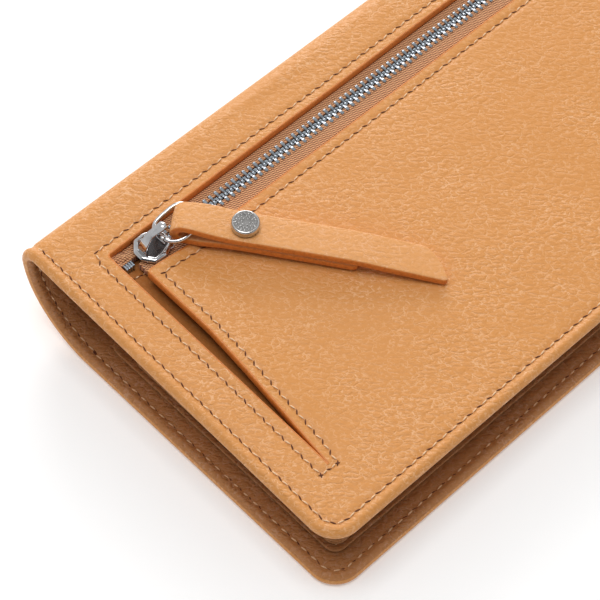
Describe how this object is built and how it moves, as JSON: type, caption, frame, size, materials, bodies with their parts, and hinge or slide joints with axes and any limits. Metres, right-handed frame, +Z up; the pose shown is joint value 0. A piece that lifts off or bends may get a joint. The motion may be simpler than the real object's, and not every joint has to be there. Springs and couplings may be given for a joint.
{
  "type": "long bifold wallet with zip coin pocket",
  "caption": "Long folding leather wallet with a metal zip coin pocket and slit on its front cover, and a riveted strap pull on a ring.",
  "frame": {"origin": "centre of the outline on the plane the back cover rests on", "axes": "+X along the fold, +Y towards the spine, +Z up through the front cover"},
  "size_m": [0.1912, 0.1032, 0.0325],
  "materials": {
    "tan_leather": "pebbled, soft sheen",
    "inner_leather": "smooth, matte",
    "gusset_leather": "smooth, matte",
    "zip_tape": "woven herringbone",
    "zip_metal": "gunmetal nickel teeth",
    "lining_cloth": "plain woven",
    "polished_nickel": "polished",
    "strap_leather": "fine grain, painted edges",
    "rivet_nickel": "satin polished"
  },
  "bodies": {
    "back_cover": {"back_cover_leather": "tan_leather", "back_pocket_panel": "inner_leather", "back_card_slot_1": "inner_leather", "back_card_slot_2": "inner_leather", "back_card_slot_3": "inner_leather"},
    "spine_lower": {"spine_lower_leather": "tan_leather"},
    "spine_upper": {"spine_upper_leather": "tan_leather"},
    "front_cover": {"front_bend_leather": "tan_leather", "front_cover_leather": "tan_leather", "slit_gusset": "gusset_leather", "zip_tape_spine_side": "zip_tape", "zip_tape_flap_side": "zip_tape", "zip_teeth_spine_side": "zip_metal", "zip_teeth_flap_side": "zip_metal", "zip_stop_spine_side": "zip_metal", "zip_stop_flap_side": "zip_metal", "zip_bottom_stop": "zip_metal", "coin_pocket_lining": "lining_cloth", "front_lining_panel": "inner_leather", "front_card_slot_1": "inner_leather", "front_card_slot_2": "inner_leather", "front_card_slot_3": "inner_leather"},
    "slider": {"slider_body": "polished_nickel"},
    "ring": {"pull_ring": "polished_nickel"},
    "strap": {"pull_strap": "strap_leather", "rivet_cap": "rivet_nickel", "rivet_post": "rivet_nickel"}
  },
  "joints": [
    {"name": "spine_root_fold", "type": "hinge", "parent": "back_cover", "child": "spine_lower", "pos_m": [0, 0.03778, 0.00127], "axis": [-1, 0, 0], "range_deg": [0, 37.5]},
    {"name": "spine_middle_fold", "type": "hinge", "parent": "spine_lower", "child": "spine_upper", "pos_m": [0, 0.0478, 0.00895], "axis": [-1, 0, 0], "range_deg": [0, 35]},
    {"name": "cover_fold", "type": "hinge", "parent": "spine_upper", "child": "front_cover", "pos_m": [0, 0.05005, 0.02462], "axis": [-1, 0, 0], "range_deg": [0, 98]},
    {"name": "slider_slide", "type": "slide", "parent": "front_cover", "child": "slider", "axis": [1, 0, 0], "range_m": [0, 0.145], "deforming": ["zip_teeth_spine_side", "zip_teeth_flap_side"]},
    {"name": "ring_tilt", "type": "hinge", "parent": "slider", "child": "ring", "pos_m": [-0.07115, 0.03088, 0.02802], "axis": [0, 0.9988, 0.0499], "range_deg": [-95, 0]},
    {"name": "strap_swing", "type": "hinge", "parent": "ring", "child": "strap", "pos_m": [-0.06635, 0.03085, 0.0287], "axis": [-0.1392, -0.0495, 0.989], "range_deg": [0, 65]}
  ],
  "couplings": [
    {"joint": "spine_root_fold", "follows": "cover_fold", "ratio": 0.38265},
    {"joint": "spine_middle_fold", "follows": "cover_fold", "ratio": 0.35714}
  ]
}
